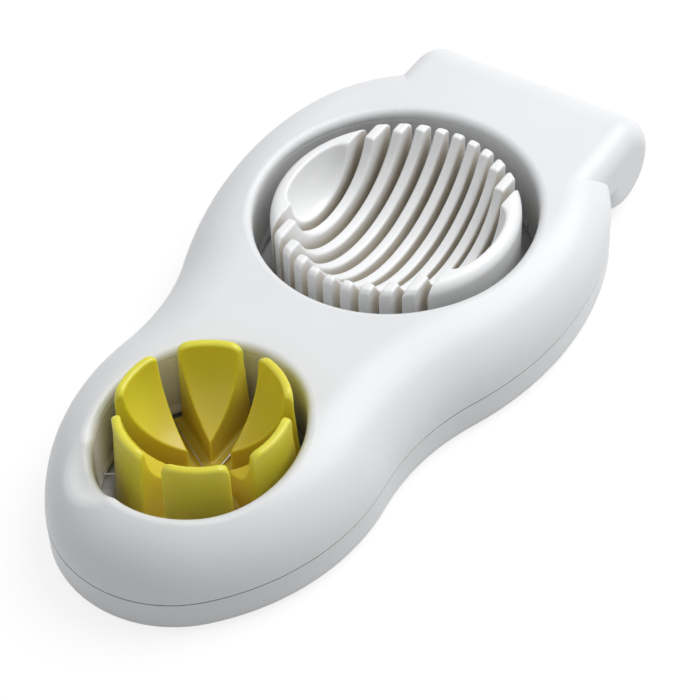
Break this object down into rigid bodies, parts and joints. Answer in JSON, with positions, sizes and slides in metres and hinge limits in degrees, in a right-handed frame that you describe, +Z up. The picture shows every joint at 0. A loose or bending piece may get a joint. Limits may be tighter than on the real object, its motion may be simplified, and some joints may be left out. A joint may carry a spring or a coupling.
{
  "type": "egg slicer",
  "caption": "Hinged kitchen egg slicer: a slotted cradle under parallel wires cuts slices, and a petal cup under crossed wires cuts wedges.",
  "frame": {"origin": "on the table under the middle of the closed outline", "axes": "+X across the body, +Y from the wedge cup's end to the hinge, +Z up"},
  "size_m": [0.1018, 0.198, 0.0324],
  "materials": {
    "body_plastic": "satin white moulded plastic",
    "cup_plastic": "satin white moulded plastic, a little warmer than the body",
    "wedge_plastic": "satin yellow moulded plastic",
    "ring_plastic": "white moulded plastic",
    "wire": "drawn stainless wire",
    "steel": "plain stainless steel"
  },
  "bodies": {
    "base": {"base_shell": "body_plastic", "slicing_cup": "cup_plastic", "wedge_cup": "wedge_plastic", "hinge_pin": "steel", "slicing_cup_screw_1": "steel", "slicing_cup_screw_2": "steel", "wedge_cup_screw_1": "steel", "wedge_cup_screw_2": "steel"},
    "lid": {"top_frame": "body_plastic", "slicing_wire_ring": "ring_plastic", "wedge_wire_ring": "ring_plastic", "slicing_wire_01": "wire", "slicing_wire_02": "wire", "slicing_wire_03": "wire", "slicing_wire_04": "wire", "slicing_wire_05": "wire", "slicing_wire_06": "wire", "slicing_wire_07": "wire", "slicing_wire_08": "wire", "slicing_wire_09": "wire", "slicing_wire_10": "wire", "wedge_wire_1": "wire", "wedge_wire_2": "wire", "wedge_wire_3": "wire", "slicing_ring_screw_1": "steel", "slicing_ring_screw_2": "steel", "slicing_ring_screw_3": "steel", "slicing_ring_screw_4": "steel", "wedge_ring_screw_1": "steel", "wedge_ring_screw_2": "steel", "wedge_ring_screw_3": "steel", "wedge_ring_screw_4": "steel"}
  },
  "joints": [
    {"name": "lid_hinge", "type": "hinge", "parent": "base", "child": "lid", "pos_m": [0, 0.086, 0.014], "axis": [-1, 0, 0], "range_deg": [0, 100]}
  ]
}
